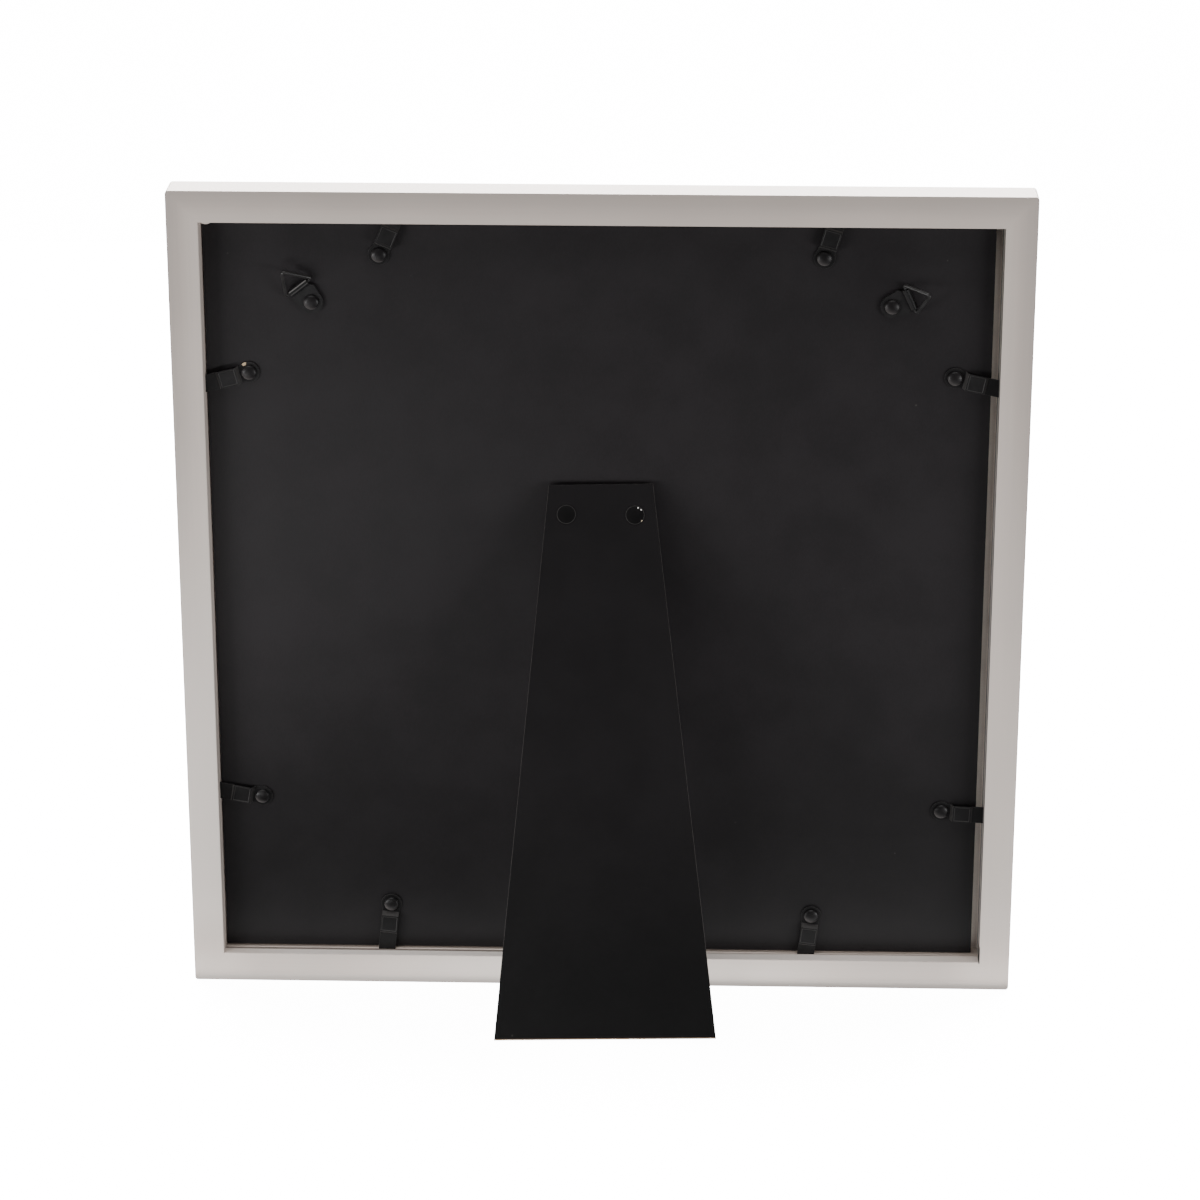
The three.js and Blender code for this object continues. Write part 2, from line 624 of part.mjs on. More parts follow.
function addLeg(frame) {
  const leg = new THREE.Group();
  leg.position.set(0, boardRear + pinHeight, pinZ);
  leg.rotation.x = openAngle;
  frame.add(leg);

  const leafInner = knuckleRadius - HINGE_LEAF_THICKNESS;
  const leaf = hingeLeaf(leafInner, middleKnuckle, endKnuckles, legRivets);
  place("hinge_leg_leaf", leaf, blackSteel, leg);

  let board = solid(plate(legOutline(), legFace + LEG_THICKNESS, LEG_THICKNESS).rotateY(skewAngle));
  for (const { x, z } of legRivets) {
    board = board.subtract(solid(bar(shankHole, 30).translate(x, 0, z)));
  }
  place("easel_leg", geometryOf(board), blackPaper, leg);

  const underHead = legFace + LEG_THICKNESS + SEAT_GAP;
  const tail = leafInner - SEAT_GAP - TAIL_THICKNESS;
  const rivet = turned(rivetProfile(underHead, flatHead(underHead, LEG_RIVET_HEAD), tail));
  for (const { name, x, z } of legRivets) {
    place("leg_rivet_" + name, rivet, blackSteel, leg, x, 0, z);
  }
}

// The table touches the rounded rear bottom edge and the lower corner of the leg's foot.
function leanAngle() {
  const edge = [];
  for (let i = 0; i <= ARC_STEPS; i++) {
    const angle = (i / ARC_STEPS) * (Math.PI / 2);
    const y = OUTER_EDGE_RADIUS * (Math.cos(angle) - 1);
    const z = OUTER_EDGE_RADIUS * (1 - Math.sin(angle)) - halfFrame;
    edge.push({ y, z });
  }
  const pin = new THREE.Vector3(0, boardRear + pinHeight, pinZ);
  const slopes = [];
  for (const side of [-1, 1]) {
    for (const face of [legFace, legFace + LEG_THICKNESS]) {
      const corner = new THREE.Vector3((side * LEG_FOOT_WIDTH) / 2, face, legFoot);
      corner.applyAxisAngle(new THREE.Vector3(0, 1, 0), skewAngle);
      corner.applyAxisAngle(new THREE.Vector3(1, 0, 0), openAngle).add(pin);
      slopes.push(Math.max(...edge.map(({ y, z }) => Math.atan2(corner.z - z, corner.y - y))));
    }
  }
  return Math.min(...slopes);
}

const frame = new THREE.Group();
addRails(frame);
addPanels(frame);
addBoard(frame);
addClips(frame);
addHangers(frame);
addHinge(frame);
addLeg(frame);
frame.rotation.x = -leanAngle();

// The part's origin is on the table, under the middle of the whole.
const photoFrame = new THREE.Group();
photoFrame.add(frame);
const reach = new THREE.Box3().setFromObject(photoFrame, true);
frame.position.set(0, -(reach.min.y + reach.max.y) / 2, -reach.min.z);

export default photoFrame;
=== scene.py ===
import json
import math

import bmesh
import bpy
from mathutils import Matrix, Vector


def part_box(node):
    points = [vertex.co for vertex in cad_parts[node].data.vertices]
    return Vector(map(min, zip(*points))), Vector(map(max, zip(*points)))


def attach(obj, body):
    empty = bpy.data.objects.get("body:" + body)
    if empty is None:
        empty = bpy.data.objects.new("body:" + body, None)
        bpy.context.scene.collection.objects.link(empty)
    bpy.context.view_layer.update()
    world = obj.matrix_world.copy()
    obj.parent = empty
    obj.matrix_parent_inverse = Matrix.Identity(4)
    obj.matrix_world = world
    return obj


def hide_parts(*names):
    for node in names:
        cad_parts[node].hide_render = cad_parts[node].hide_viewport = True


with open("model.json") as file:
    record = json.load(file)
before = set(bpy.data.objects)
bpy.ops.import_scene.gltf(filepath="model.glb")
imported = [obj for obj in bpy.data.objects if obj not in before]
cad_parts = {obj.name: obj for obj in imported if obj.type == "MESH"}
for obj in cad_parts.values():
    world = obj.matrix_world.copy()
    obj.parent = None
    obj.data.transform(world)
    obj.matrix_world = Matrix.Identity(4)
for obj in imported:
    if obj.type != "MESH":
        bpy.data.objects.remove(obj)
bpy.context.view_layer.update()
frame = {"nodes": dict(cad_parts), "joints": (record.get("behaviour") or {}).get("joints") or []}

# Frame rails. Four lengths of milled wood, mitred and glued at the corners, then sprayed a warm white.
# A saw kerf runs round the inner wall for the clips' tongues, and a lip in front holds the glass.
# Lengths in this file are millimetres, in a frame that stands upright about the middle of its rear face.
SIDE = 330.2
DEPTH = 15.95
RIM = 12.3
LIP = 5.5
LIP_THICKNESS = 2
KERF_FROM_REAR = 6.3
KERF_WIDTH = 1.2
KERF_REACH = 6.77
GLUE_LINE = 0.006
CROWN = 0.5  # the rear face falls away this much towards its outer edge
CORNER_ROUND = 1.4
REAR_ROUND = 0.8
FRONT_ROUND = 1.2
INNER_ROUND = 0.35
PANE_MIDDLE = 13.1  # from the rear face to the middle of the glass
METRES = 0.001

PAINT_DARKER = (0.738, 0.646, 0.584, 1)
PAINT_LIGHTER = (0.801, 0.702, 0.635, 1)
PAINT_SHADED = (0.21, 0.184, 0.168, 1)
PAINT_LIT = (0.95, 0.86, 0.79, 1)
PAINT_LIT_EDGE = (0.93, 0.85, 0.79, 1)
PAINT_SILL_LIT = (0.9, 0.82, 0.765, 1)
PAINT_THIN = (0.36, 0.3, 0.26, 1)
PAINT_CHIPPED = (0.9, 0.88, 0.85, 1)
WALL_SHADE_LOW = (0.15, 0.145, 0.147, 1)
WALL_SHADE_HIGH = (0.095, 0.1, 0.09, 1)
KERF_SHADE = (0.17, 0.135, 0.115, 1)
CORNER_LINE_DARK = (0.02, 0.016, 0.014, 1)
BRIGHT_END = 0.13  # metres from the middle, where the painted light has faded out
GREY_END = 0.135

joints = {joint["name"]: joint for joint in frame["joints"]}
out = Vector(joints["clip_top_left_turn"]["axis"]).normalized()
across = Vector((1, 0, 0))
leaned = Matrix((across, out, across.cross(out))).transposed().to_4x4()
pane_low, pane_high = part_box("glass_pane")
rear_middle = (Vector(pane_low) + Vector(pane_high)) / 2 + out * PANE_MIDDLE * METRES


def at(point):
    """A place in the leaned frame, from millimetres about the given point in metres."""
    return Matrix.Translation(point) @ leaned @ Matrix.Scale(METRES, 4)


def start(primitive, **settings):
    """Adds a primitive on its own and opens it in edit mode, all of it selected."""
    bpy.ops.object.select_all(action="DESELECT")
    primitive(**settings)
    bpy.ops.object.mode_set(mode="EDIT")
    bpy.ops.mesh.select_all(action="SELECT")


def choose(kind, wanted):
    """Selects the vertices, edges or faces that pass a test."""
    bpy.ops.mesh.select_mode(type=kind)
    bpy.ops.mesh.select_all(action="DESELECT")
    shape = bmesh.from_edit_mesh(bpy.context.object.data)
    parts = {"VERT": shape.verts, "EDGE": shape.edges, "FACE": shape.faces}[kind]
    for part in parts:
        part.select_set(wanted(part))
    shape.select_flush_mode()
    bmesh.update_edit_mesh(bpy.context.object.data)


def chain(points):
    """Draws a line of vertices through the points."""
    points = [Vector(point) for point in points]
    start(bpy.ops.mesh.primitive_plane_add)
    bpy.ops.mesh.merge(type="CENTER")
    bpy.ops.transform.translate(value=points[0])
    for here, there in zip(points, points[1:]):
        bpy.ops.mesh.extrude_vertices_move(TRANSFORM_OT_translate={"value": there - here})
    bpy.ops.mesh.select_all(action="SELECT")


def drawn(points, along):
    """Fills an outline and draws it out into a solid."""
    chain(points)
    bpy.ops.mesh.edge_face_add()
    bpy.ops.mesh.extrude_region_move(TRANSFORM_OT_translate={"value": along})
    tidy()


def tidy():
    """Merges what coincides and points the faces outwards."""
    bpy.ops.mesh.select_mode(type="VERT")
    bpy.ops.mesh.select_all(action="SELECT")
    bpy.ops.mesh.remove_doubles(threshold=0.0005)
    bpy.ops.mesh.normals_make_consistent(inside=False)


def done(smooth=35):
    """Leaves edit mode and shades what is round."""
    bpy.ops.object.mode_set(mode="OBJECT")
    bpy.ops.object.shade_smooth_by_angle(angle=math.radians(smooth))
    return bpy.context.object


def modified(piece, kind, **settings):
    """Adds a modifier with its settings and applies it."""
    modifier = piece.modifiers.new(kind, kind)
    for name, value in settings.items():
        setattr(modifier, name, value)
    bpy.ops.object.modifier_apply(modifier=modifier.name)


def dress(piece, finish):
    """Gives a piece or a CAD node its only material."""
    piece.data.materials.clear()
    piece.data.materials.append(finish)


def settle(piece, name, place, finish, body, slot, *nodes):
    """Puts a piece in its place, in its mesh, gives it its finish and hangs it on its body, hiding the CAD
    nodes it stands for.
    """
    piece.name = name
    piece.data.name = name
    bpy.ops.object.select_all(action="DESELECT")
    piece.select_set(True)
    bpy.context.view_layer.objects.active = piece
    piece.matrix_world = place @ piece.matrix_world
    bpy.ops.object.transform_apply(location=True, rotation=True, scale=True)
    dress(piece, finish)
    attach(piece, body)
    if nodes:
        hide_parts(*nodes)


def another(piece):
    """A copy with its own mesh."""
    copy = piece.copy()
    copy.data = piece.data.copy()
    bpy.context.collection.objects.link(copy)
    return copy


class Wire:
    """One output in a shader. Maths on wires adds the nodes that work it out."""

    def __init__(self, socket):
        self.socket = socket

    def node(self, kind, settings, values, output=0):
        """Adds a node, gives it its settings, then the values or wires of its sockets."""
        made = self.socket.id_data.nodes.new("ShaderNode" + kind)
        for name, value in settings.items():
            setattr(made, name, value)
        for name, value in values.items():
            if isinstance(value, Wire):
                self.socket.id_data.links.new(value.socket, made.inputs[name])
            else:
                made.inputs[name].default_value = value
        return Wire(made.outputs[output])

    def maths(self, operation, first, second=0.0):
        return self.node("Math", {"operation": operation}, {0: first, 1: second})

    def __add__(self, other):
        return self.maths("ADD", self, other)

    def __sub__(self, other):
        return self.maths("SUBTRACT", self, other)

    def __rsub__(self, other):
        return self.maths("SUBTRACT", other, self)

    def __mul__(self, other):
        return self.maths("MULTIPLY", self, other)

    def __abs__(self):
        return self.maths("ABSOLUTE", self)

    def __gt__(self, other):
        return self.maths("GREATER_THAN", self, other)

    def __lt__(self, other):
        return self.maths("LESS_THAN", self, other)

    __radd__ = __add__
    __rmul__ = __mul__

    def fade(self, low, high):
        """0 below one value and 1 above another, smooth between."""
        ends = {"Value": self, "From Min": low, "From Max": high}
        return self.node("MapRange", {"interpolation_type": "SMOOTHSTEP"}, ends)

    def noise(self, scale, detail=3.0, stretch=None):
        """Noise round 0, on this wire as its coordinate."""
        place = self
        if stretch:
            place = self.node("Mapping", {}, {"Vector": self, "Scale": stretch})
        return place.node("TexNoise", {}, {"Vector": place, "Scale": scale, "Detail": detail}) - 0.5

    def blend(self, low, high):
        """One colour where this wire is 0, another where it is 1."""
        return self.node("Mix", {"data_type": "RGBA"}, {0: self, 6: low, 7: high}, 2)

    def along(self, direction):
        """How far the wire's vector reaches in a direction."""
        settings = {"operation": "DOT_PRODUCT"}
        return self.node("VectorMath", settings, {0: self, 1: direction}, 1)

    def spot(self, point, radius):
        """1 within a radius of a point, with a ragged rim."""
        distance = self.node("VectorMath", {"operation": "DISTANCE"}, {0: self, 1: point}, 1)
        return (distance + self.noise(2500.0) * radius).fade(radius * 1.1, radius * 0.8)

    def line(self, direction, distance, reach):
        """1 on a line across a direction, at a distance along it, fading out over its reach."""
        return abs(self.along(direction) - distance).fade(reach, reach * 0.4)

    def bump(self, height):
        """A normal from heights in metres."""
        return self.node("Bump", {}, {"Height": height, "Strength": 1.0, "Distance": 1.0})


def finish_of(name):
    """A new material, and a wire with the place in the leaned frame, in metres."""
    material = bpy.data.materials.new(name)
    material.use_nodes = True
    world = Wire(material.node_tree.nodes.new("ShaderNodeTexCoord").outputs["Object"])
    lean = leaned.to_euler()
    settings = {"vector_type": "TEXTURE"}
    values = {"Vector": world, "Location": rear_middle, "Rotation": lean}
    return material, world.node("Mapping", settings, values)


def facing(place, direction=out):
    """How squarely the surface faces a direction, from -1 to 1."""
    geometry = place.socket.id_data.nodes.new("ShaderNodeNewGeometry")
    return Wire(geometry.outputs["Normal"]).along(direction)


def feed(material, **sockets):
    """Gives the shader its values and wires. An underscore stands for a space."""
    shader = material.node_tree.nodes["Principled BSDF"]
    for name, value in sockets.items():
        socket = shader.inputs[name.replace("_", " ")]
        if isinstance(value, Wire):
            material.node_tree.links.new(value.socket, socket)
        else:
            socket.default_value = value


def painted_wood(name, grain):
    """Sprayed paint, a little uneven, with the grain of the wood faint under it.

    On the rear it is painted greyer towards the upper outside edges and the bottom rail's ends, a painted
    shade, and painted brighter low down, a painted light. On the inner walls it is thin past the kerf;
    painted shade darkens the side walls to the right and the sill's left along the kerf and by the board,
    and painted light brightens the sill between the rear face and the kerf. A thin dark line runs up one
    inner corner, and the paint is chipped at another."""
    material, place = finish_of(name)
    sideways = place.along((1.0, 0.0, 0.0))
    depth = place.along((0.0, 1.0, 0.0))
    upward = place.along((0.0, 0.0, 1.0))
    outside = SIDE / 2 * METRES
    opening = outside - RIM * METRES
    from_middle = sideways.maths("MAXIMUM", abs(sideways), abs(upward))
    upright = abs(sideways) > abs(upward)
    rear = facing(place).fade(0.3, 0.9)
    cloud = place.noise(18.0)
    grained = place.noise(1.0, 4.0, grain)
    tone = (cloud * 0.9 + grained * 0.5 + 0.5).fade(0.2, 0.8)
    coat = tone.blend(PAINT_DARKER, PAINT_LIGHTER)

    # Painted shade: the rear is painted greyer towards its upper outside edges.
    edge_shade = from_middle.fade(opening, outside) * upward.fade(-outside * 1.2, outside) * rear * 0.37
    coat = edge_shade.blend(coat, PAINT_SHADED)
    # Painted light: the side rails' rear is painted brighter low down, more so on the left, and the bottom
    # rail's rear about its middle.
    leftward = sideways.fade(-outside, outside)
    low = upright * rear * upward.fade(0.08, -0.1) * (leftward * 0.55 + 0.45)
    coat = (low * upward.fade(-opening, -BRIGHT_END)).blend(coat, PAINT_LIT)
    bottom = (1 - upright) * rear * (upward < 0.0)
    coat = (bottom * abs(sideways).fade(0.1, 0.03) * 0.6).blend(coat, PAINT_LIT)
    # Painted shade: the bottom rail's rear is painted greyer towards its ends.
    ends = bottom * abs(sideways).fade(0.07, 0.12) * abs(sideways).fade(opening, GREY_END)
    coat = (ends * (sideways.fade(0.1, -0.1) * 0.06 + 0.14)).blend(coat, PAINT_SHADED)
    # Painted light along the bottom rail's lower rounded edge.
    lit_lower_edge = bottom * upward.fade(0.0045 - outside, 0.0005 - outside) * 0.9
    coat = lit_lower_edge.blend(coat, PAINT_LIT_EDGE)

    wall = from_middle.fade(opening - 0.0012, opening - 0.0004)
    wall = wall * from_middle.fade(opening + 0.002, opening + 0.001)
    wall = wall * abs(facing(place)).fade(0.5, 0.2)
    # Painted shade on the side walls, darker to the right and higher up.
    shaded = wall * upright * (sideways.fade(0.1, -0.1) * 0.8 + 0.1)
    coat = shaded.blend(coat, upward.fade(0.02, 0.11).blend(WALL_SHADE_LOW, WALL_SHADE_HIGH))
    thin = wall * (1 - upright * 0.9) * depth.fade(-0.0057, -0.0069) * (grained + 0.9).fade(0.1, 0.9)
    coat = thin.blend(coat, PAINT_THIN)
    sill = wall * facing(place, leaned.col[2].to_3d()).fade(0.5, 0.9)
    # Painted light on the bottom rail's sill, between the rear face and the kerf.
    lit_sill = sill * abs(sideways).fade(opening, 0.12) * depth.fade(-0.0055, -0.0045)
    coat = lit_sill.blend(coat, PAINT_SILL_LIT)
    # Painted shade on the left of the sill: a line along the kerf's rear edge and a strip deepest in, by
    # the board.
    sill_left = sill * (sideways + cloud * 0.2).fade(-0.07, 0.05)
    kerf_lip = abs(depth + 0.0051) < 0.0007
    kerf_shade = sill_left * (kerf_lip + depth.fade(-0.0074, -0.0084))
    coat = (kerf_shade * 0.85).blend(coat, KERF_SHADE)

    aside = sideways + (opening + 0.0001)
    above = upward + opening
    # A thin dark line up the inner corner at the bottom right, seen from behind.
    corner_line = abs(aside).fade(0.00034, 0.00012) * above.fade(-0.0009, -0.0003) * above.fade(0.0079, 0.0059)
    coat = (corner_line * depth.fade(-0.006, -0.005)).blend(coat, CORNER_LINE_DARK)
    chip = place.spot((-opening, -0.004, opening), 0.0006)
    coat = chip.blend(coat, PAINT_CHIPPED)
    peel = place.noise(1600.0, 2.0)
    feed(
        material,
        Base_Color=coat,
        Roughness=0.46 + cloud * 0.1 + peel * 0.06 + shaded * 0.4,
        Normal=place.bump(peel * 0.00001 + grained * 0.00003),
    )
    return material


paint = {
    "lying": painted_wood("paint_lying_grain", (8.0, 600.0, 600.0)),
    "upright": painted_wood("paint_upright_grain", (600.0, 600.0, 8.0)),
}

half = SIDE / 2
kerf_rear = KERF_WIDTH / 2 - KERF_FROM_REAR
kerf_front = -KERF_WIDTH / 2 - KERF_FROM_REAR
shelf = LIP_THICKNESS - DEPTH
crowned = [(RIM * i / 6, -CROWN * (1 - i / 6) ** 2) for i in range(7)]
section = crowned + [
    (RIM, kerf_rear),
    (RIM - KERF_REACH, kerf_rear),
    (RIM - KERF_REACH, kerf_front),
    (RIM, kerf_front),
    (RIM, shelf),
    (RIM + LIP, shelf),
    (RIM + LIP, -DEPTH),
    (0, -DEPTH),
]
drawn([(-half, y, inward - half) for inward, y in section], (SIDE, 0, 0))
for end in (-1, 1):
    apex = (0, 0, -GLUE_LINE / math.sqrt(2))
    bpy.ops.mesh.select_all(action="SELECT")
    bpy.ops.mesh.bisect(plane_co=apex, plane_no=(end, 0, 1), use_fill=True, clear_outer=True)
    for step in (0.25, 0.5, 0.75, 1):
        angle = step * math.pi / 4
        facet = Vector((end * math.sin(angle), 0, -math.cos(angle)))
        centre = Vector((end * (half - CORNER_ROUND), 0, CORNER_ROUND - half))
        touch = centre + facet * CORNER_ROUND
        bpy.ops.mesh.select_all(action="SELECT")
        bpy.ops.mesh.bisect(plane_co=touch, plane_no=facet, use_fill=True, clear_outer=True)


def outer_edge(y):
    """The edges round the outside of the rail, at one depth."""
    def test(edge):
        ends = [corner.co for corner in edge.verts]
        flat = all(abs(end.y - y) < 0.01 for end in ends)
        outside = all(end.z < 1.05 * CORNER_ROUND - half for end in ends)
        return flat and outside and not edge.calc_length() < 0.01
    return test


def inner_edge(inward, y):
    """The edge along the rail, at one distance inward and one depth."""
    def test(edge):
        return all(abs(end.co.y - y) + abs(end.co.z + half - inward) < 0.01 for end in edge.verts)
    return test


rounds = [
    (outer_edge(-CROWN), REAR_ROUND, 5),
    (outer_edge(-DEPTH), FRONT_ROUND, 6),
    (inner_edge(RIM, 0), INNER_ROUND, 3),
    (inner_edge(RIM + LIP, -DEPTH), INNER_ROUND, 3),
    (inner_edge(RIM + LIP, shelf), INNER_ROUND, 3),
]
for test, size, segments in rounds:
    choose("EDGE", test)
    bpy.ops.mesh.bevel(offset=size, segments=segments, affect="EDGES", clamp_overlap=True)
tidy()
rail = done()
modified(rail, "WEIGHTED_NORMAL", keep_sharp=True)

for quarter, name in enumerate(["bottom_rail", "right_rail", "top_rail", "left_rail"]):
    turn = Matrix.Rotation(quarter * math.pi / 2, 4, "Y")
    grain = paint["upright" if quarter % 2 else "lying"]
    settle(another(rail), name + "_wood", at(rear_middle) @ turn, grain, "frame", "painted_wood", name)
bpy.data.objects.remove(rail)

# Paint run. A drop of the sprayed paint that crept along the top rail's inner edge, near the left
# corner, and dried there before it could be wiped off.
RUN_LENGTH = 3.8
RUN_HEIGHT = 1.1
RUN_DEPTH = 0.9
RUN_FROM_CORNER = 2.7
RUN_SUNK = 0.42  # from the rear face in to its middle
RUN_HANGS = 0.05  # from the rail's inner edge down to its middle
RUN_THINNER_FROM = 0.38  # along it, from its middle
RUN_FLATTER_FROM = 0.12  # up from its middle

start(bpy.ops.mesh.primitive_uv_sphere_add, segments=24, ring_count=12, radius=0.5)
bpy.ops.transform.resize(value=(RUN_LENGTH, RUN_DEPTH, RUN_HEIGHT))
choose("VERT", lambda vert: vert.co.x > RUN_THINNER_FROM)
bpy.ops.transform.resize(value=(1, 0.8, 0.6), center_override=(0, 0, 0))
choose("VERT", lambda vert: vert.co.z > RUN_FLATTER_FROM)
bpy.ops.transform.resize(value=(1.1, 1, 0.4), center_override=(0, 0, RUN_FLATTER_FROM))
bpy.ops.mesh.select_all(action="SELECT")
bpy.ops.mesh.vertices_smooth(factor=0.5, repeat=3)
run = done(60)
run_spot = (half - RIM - RUN_FROM_CORNER, -RUN_SUNK, half - RIM - RUN_HANGS)
run_place = at(rear_middle) @ Matrix.Translation(run_spot)
settle(run, "paint_run", run_place, paint["lying"], "frame", "painted_wood")

# Glass pane. Clear float glass, cut square and laid behind the lip. The mat, the prints and the board
# press on it from the rear.
glass, place = finish_of("clear_glass")
feed(
    glass,
    Base_Color=(0.07, 0.1, 0.09, 1),
    Roughness=0.03 + place.noise(40.0) * 0.02,
    Alpha=0.1,
)
dress(frame["nodes"]["glass_pane"], glass)

# Mat board. White card with four windows, each cut at 45 degrees so that its pale core shows.
# It lies on the glass and laps each edge of the prints.
card, place = finish_of("mat_card")
felt = place.noise(900.0, 4.0)
fine = place.noise(3500.0, 2.0)
core = abs(facing(place)).fade(0.8, 0.6)
feed(
    card,
    Base_Color=core.blend((0.85, 0.835, 0.8, 1), (0.93, 0.925, 0.91, 1)),
    Roughness=0.9 + felt * 0.1,
    Normal=place.bump(felt * 0.00005 + fine * 0.00002),
)
dress(frame["nodes"]["mat_board"], card)

# Prints. Photo paper, one sheet behind each window, held between the mat and the board. Each shows a
# soft view of hills, the same kind of view in all, toned differently.
views = {
    # where in the noise its ridges are cut, sky, nearest hill
    "upper_left": (0.0, (0.3, 0.37, 0.42, 1), (0.025, 0.045, 0.055, 1)),
    "upper_right": (3.1, (0.46, 0.37, 0.27, 1), (0.06, 0.04, 0.028, 1)),
    "lower_right": (6.7, (0.34, 0.4, 0.34, 1), (0.028, 0.05, 0.028, 1)),
    "lower_left": (9.4, (0.4, 0.4, 0.42, 1), (0.035, 0.037, 0.05, 1)),
}
for name, (seed, sky, ground) in views.items():
    low, high = (Vector(corner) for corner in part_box("photo_print_" + name))
    middle = (low + high) / 2
    height = (middle - rear_middle).dot(leaned.col[2].to_3d())
    print_paper, place = finish_of("print_" + name)
    up_print = place.along((0.0, 0.0, 1.0)) - height
    color = up_print.fade(-0.05, 0.06).blend((0.7, 0.7, 0.66, 1), sky)
    for layer in range(4):
        shifted = place.node("Mapping", {}, {"Vector": place, "Location": (seed + layer, layer, 0.0)})
        flat = shifted.node("Mapping", {}, {"Vector": shifted, "Scale": (1.0, 0.0, 0.0)})
        ridge = flat.noise(14.0 + 6.0 * layer, 5.0) * (0.05 - 0.008 * layer) + (0.012 - 0.016 * layer)
        depth = layer / 3
        tone = tuple(g * depth + s * (1 - depth) * 0.8 for g, s in zip(ground, sky))
        under = (ridge - up_print).fade(-0.0006, 0.0006)
        color = under.blend(color, tone)
    grain_fine = place.noise(5000.0, 2.0)
    feed(
        print_paper,
        Base_Color=color,
        Roughness=0.28 + grain_fine * 0.05,
        Normal=place.bump(grain_fine * 0.000004),
    )
    dress(frame["nodes"]["photo_print_" + name], print_paper)

# Backing board. Hardboard faced with black paper; its cut edge is bare brown fibre. The clips hold it
# in, and a few specks of dust lie on the paper.
BARE_FIBRE = (0.13, 0.075, 0.042, 1)
DUST = (0.08, 0.075, 0.07, 1)
BLACK = (0, 0, 0, 1)


def black_paper(name, flat, black, roughness, gloss, painted_shade_band, edge=BARE_FIBRE, end=None, rubbed_and_lit_line=None):
    """Paper on board. The faces that look along the flat direction are paper, the rest is the cut edge.

    Between the two heights of the painted shade band the paper is painted darker, by its third value at the
    lower one.
    An end, a direction and its colour, is an edge that is barer than the others and painted paler, bare
    fibre with painted light on it.
    Where the rubbed and lit line is given, the paper is painted paler along a line, rubbed off and with
    painted light on it: the direction across it, its place along that direction, half its width and its
    colour."""
    material, place = finish_of(name)
    high, low, share = painted_shade_band
    mottle = place.noise(45.0, 4.0)
    fibre = place.noise(1.0, 3.0, (2600.0, 2600.0, 900.0))
    speck = place.noise(1500.0, 1.0)
    lighter = tuple(1.35 * part for part in black[:3]) + (1,)
    paper = (mottle + fibre * 0.6 + 0.5).fade(0.2, 0.8).blend(black, lighter)
    paper = (place.along((0.0, 0.0, 1.0)).fade(high, low) * share).blend(paper, BLACK)
    cut = abs(facing(place, flat)).fade(0.75, 0.5)
    cells = place.node("TexVoronoi", {}, {"Vector": place, "Scale": 70.0})
    dust = cells.fade(0.035, 0.02) * (place.noise(31.0, 1.0) + 0.5).fade(0.5, 0.65)
    paper = (dust * 0.5).blend(paper, DUST)
    if end:
        direction, bare = end
        edge = facing(place, direction).fade(0.5, 0.8).blend(edge, bare)
    color = cut.blend(paper, edge)
    if rubbed_and_lit_line:
        direction, distance, reach, bare = rubbed_and_lit_line
        color = place.line(direction, distance, reach).blend(color, bare)
    feed(
        material,
        Base_Color=color,
        Roughness=roughness + mottle * 0.12 + fibre * 0.08 + cut * 0.3,
        Normal=place.bump(fibre * 0.000012 + speck * 0.00001 + mottle * 0.00003),
        Specular_IOR_Level=gloss,
    )
    return material


BOARD_BLACK = (0.0152, 0.0131, 0.0144, 1)
# Painted shade: the board's paper is painted darker towards the bottom.
board_paper = black_paper("board_paper", out, BOARD_BLACK, 0.5, 0.3, painted_shade_band=(-0.02, -0.13, 0.5))
dress(frame["nodes"]["backing_board"], board_paper)

# Turn clips. Strip steel with a round end for the rivet, a raised square to push with a thumb,
# and a tongue that slides into the kerf. Pressed in one blow and enamelled black.
CLIP_THICKNESS = 0.6
CLIP_WIDTH = 6.8
CLIP_PAD = 8.2
CLIP_REACH = 20.4
CLIP_TIP_ROUND = 0.8
CLIP_LOW = 0.45  # the strip's middle above the board, at the rivet
CLIP_TONGUE = 2.3
CLIP_HIGH = 2.8
CLIP_SQUARE_START = 4.7
CLIP_SQUARE_END = 11.7
CLIP_RISE = 0.9
CLIP_FALL = 0.45
CLIP_RIM = 0.34  # the width of the flat border round the dish in the square
CLIP_DISH_WALL = 0.2
CLIP_DISH = 0.16  # how deep the square is dished
CLIP_EDGE_ROUND = 0.13
CLIP_CHIP = (0.0019, 0.0007, 0.0034)  # metres from the rivet's place
CLIP_CHIP_RADIUS = 0.0009
CLIP_CHIP_COLOR = (0.72, 0.55, 0.36, 1)
ENAMEL = (0.0095, 0.0088, 0.0092)
EDGE_WEAR_AND_HIGHLIGHT = (0.05, 0.047, 0.046, 1)
PAINTED_SHEEN = (0.11, 0.1, 0.098, 1)
clip_turns = {
    # degrees from straight up, anticlockwise as seen from behind
    "top_left": -23,
    "top_right": -16,
    "upper_left": 104,
    "upper_right": -102,
    "lower_left": 80,
    "lower_right": -93,
    "bottom_left": 174,
    "bottom_right": 173,
}


def arc(centre, radius, first, last, steps):
    """Points in X and Z on an arc, its angles in degrees from +X towards +Z."""
    angles = [math.radians(first + (last - first) * i / steps) for i in range(steps + 1)]
    x, z = centre
    return [(x + radius * math.cos(angle), 0, z + radius * math.sin(angle)) for angle in angles]


